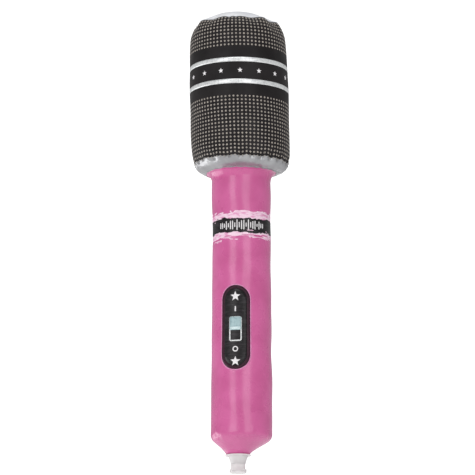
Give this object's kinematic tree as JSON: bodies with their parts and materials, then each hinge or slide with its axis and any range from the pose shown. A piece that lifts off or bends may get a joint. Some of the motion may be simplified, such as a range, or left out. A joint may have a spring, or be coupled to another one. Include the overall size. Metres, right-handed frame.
{
  "type": "inflatable toy microphone",
  "caption": "Blow-up film karaoke microphone toy: dotted barrel head with rings and stars, flared neck, round pink handle with a printed switch, and a push-in air valve.",
  "frame": {"origin": "on the microphone's long axis, at the middle of the straight stretch of the handle", "axes": "+Z along the long axis towards the head; -Y is the front, where the printed switch is; the air valve hangs at the lower end"},
  "size_m": [0.0562, 0.0562, 0.2626],
  "materials": {
    "frosted_film": "gloss",
    "black_film": "gloss",
    "silver_film": "satin",
    "pink_film": "gloss",
    "clear_film": "gloss",
    "silver_ink": "satin",
    "white_ink": "satin",
    "grey_ink": "satin",
    "pale_pink_ink": "satin",
    "black_ink": "satin",
    "aqua_ink": "satin",
    "valve_pvc": "gloss"
  },
  "bodies": {
    "air_body": {"head_top_panel": "frosted_film", "head_top_weld": "frosted_film", "head_sleeve": "black_film", "head_side_weld": "black_film", "head_bottom_weld": "silver_film", "neck_panel": "silver_film", "neck_weld": "silver_film", "handle_sleeve": "pink_film", "handle_side_weld": "pink_film", "handle_end_panel": "pink_film", "handle_end_weld": "clear_film", "ring_prints": "silver_ink", "star_prints": "white_ink", "upper_dot_print": "grey_ink", "lower_dot_print": "grey_ink", "splash_print": "pale_pink_ink", "brush_print": "black_ink", "wave_print": "white_ink", "switch_panel_print": "black_ink", "switch_frame_print": "silver_ink", "switch_slider_print": "aqua_ink", "switch_star_prints": "white_ink", "valve_flange": "valve_pvc", "valve_web": "valve_pvc"},
    "valve_stem": {"valve_stem": "valve_pvc"},
    "valve_plug": {"valve_plug": "valve_pvc", "valve_strap": "valve_pvc"},
    "valve_flap": {"valve_flap": "valve_pvc"}
  },
  "joints": [
    {"name": "valve_push", "type": "slide", "parent": "air_body", "child": "valve_stem", "axis": [0, 0, 1], "range_m": [0, 0.007], "deforming": ["valve_web"]},
    {"name": "plug_swing", "type": "hinge", "parent": "valve_stem", "child": "valve_plug", "pos_m": [-0.002, 0.0066, -0.0914], "axis": [1, 0, 0], "range_deg": [0, 165]},
    {"name": "flap_open", "type": "hinge", "parent": "valve_stem", "child": "valve_flap", "pos_m": [-0.002, 0.0034, -0.0825], "axis": [-1, 0, 0], "range_deg": [0, 40], "stiffness_Nm_per_rad": 0.000002}
  ]
}
